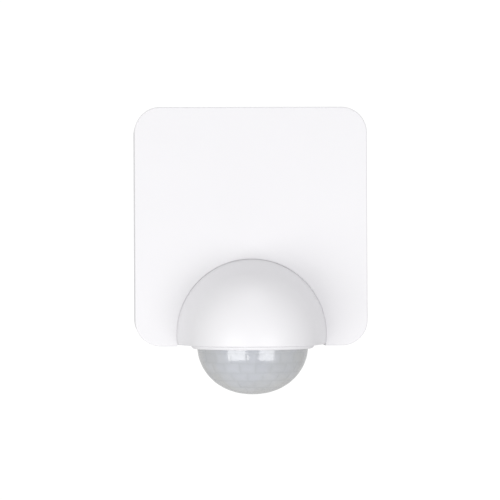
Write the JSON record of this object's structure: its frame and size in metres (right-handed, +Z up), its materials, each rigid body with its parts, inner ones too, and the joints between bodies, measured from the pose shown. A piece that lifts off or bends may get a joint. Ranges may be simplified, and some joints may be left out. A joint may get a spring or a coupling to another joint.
{
  "type": "motion sensor",
  "caption": "Wall-mounted outdoor motion sensor: a rounded square white housing with a domed hood and a swivelling milky Fresnel lens below it.",
  "frame": {"origin": "centre of the wall base's flat back face, on the wall", "axes": "+Z up the wall, +X to the right of someone facing the sensor, -Y out of the wall towards them"},
  "size_m": [0.095, 0.0649, 0.1168],
  "materials": {
    "white_plastic": "fine satin moulded white plastic",
    "lens_plastic": "milky grey polyethylene with fine lens cells",
    "black_rubber": "soft black rubber",
    "grey_rubber": "soft grey rubber",
    "zinc_steel": "zinc-plated steel",
    "green_board": "green circuit board lacquer",
    "black_plastic": "black moulded plastic",
    "blue_plastic": "blue moulded plastic",
    "yellow_plastic": "yellow moulded plastic",
    "grey_plastic": "grey moulded plastic",
    "red_plastic": "clear red lamp plastic"
  },
  "bodies": {
    "housing": {"wall_base": "white_plastic", "cable_grommet": "black_rubber", "terminal_block": "grey_plastic", "terminal_screw_line": "zinc_steel", "terminal_screw_neutral": "zinc_steel", "terminal_screw_load": "zinc_steel", "base_header": "black_plastic", "board_socket": "grey_plastic", "cover_seal": "grey_rubber", "front_cover": "white_plastic", "cover_screw_left": "zinc_steel", "cover_screw_right": "zinc_steel", "hood": "white_plastic", "hood_screw_left": "zinc_steel", "hood_screw_right": "zinc_steel", "retaining_ring": "grey_plastic", "power_board": "green_board", "board_screw_upper_left": "zinc_steel", "board_screw_upper_right": "zinc_steel", "board_screw_lower_left": "zinc_steel", "board_screw_lower_right": "zinc_steel", "relay": "blue_plastic", "film_capacitor": "yellow_plastic", "smoothing_capacitor": "black_plastic", "varistor": "blue_plastic", "fuse": "grey_plastic", "bridge_rectifier": "black_plastic", "microcontroller": "black_plastic", "range_trimmer": "blue_plastic", "time_trimmer": "blue_plastic", "twilight_trimmer": "blue_plastic", "sensor_lead": "grey_rubber", "lead_connector": "black_plastic"},
    "head": {"lens_ring": "white_plastic", "fresnel_lens": "lens_plastic", "lens_carrier": "grey_plastic", "head_seal": "grey_rubber", "sensor_board": "green_board", "sensor_board_screw_left": "zinc_steel", "sensor_board_screw_right": "zinc_steel", "sensor_mount": "black_plastic", "pyro_sensor_left": "zinc_steel", "pyro_sensor_front": "zinc_steel", "pyro_sensor_right": "zinc_steel", "light_sensor": "yellow_plastic", "status_led": "red_plastic", "lead_plug": "black_plastic"},
    "range_adjuster": {"range_knob": "white_plastic"},
    "time_adjuster": {"time_knob": "white_plastic"},
    "twilight_adjuster": {"twilight_knob": "white_plastic"}
  },
  "joints": [
    {"name": "head_pan", "type": "hinge", "parent": "housing", "child": "head", "pos_m": [0, -0.038, -0.0482], "axis": [0, 0, 1], "range_deg": [-80, 80]},
    {"name": "range_turn", "type": "hinge", "parent": "housing", "child": "range_adjuster", "pos_m": [-0.014, -0.00755, -0.04875], "axis": [0, 0, 1], "range_deg": [-135, 135]},
    {"name": "time_turn", "type": "hinge", "parent": "housing", "child": "time_adjuster", "pos_m": [0, -0.00755, -0.04875], "axis": [0, 0, 1], "range_deg": [-135, 135]},
    {"name": "twilight_turn", "type": "hinge", "parent": "housing", "child": "twilight_adjuster", "pos_m": [0.014, -0.00755, -0.04875], "axis": [0, 0, 1], "range_deg": [-135, 135]}
  ]
}
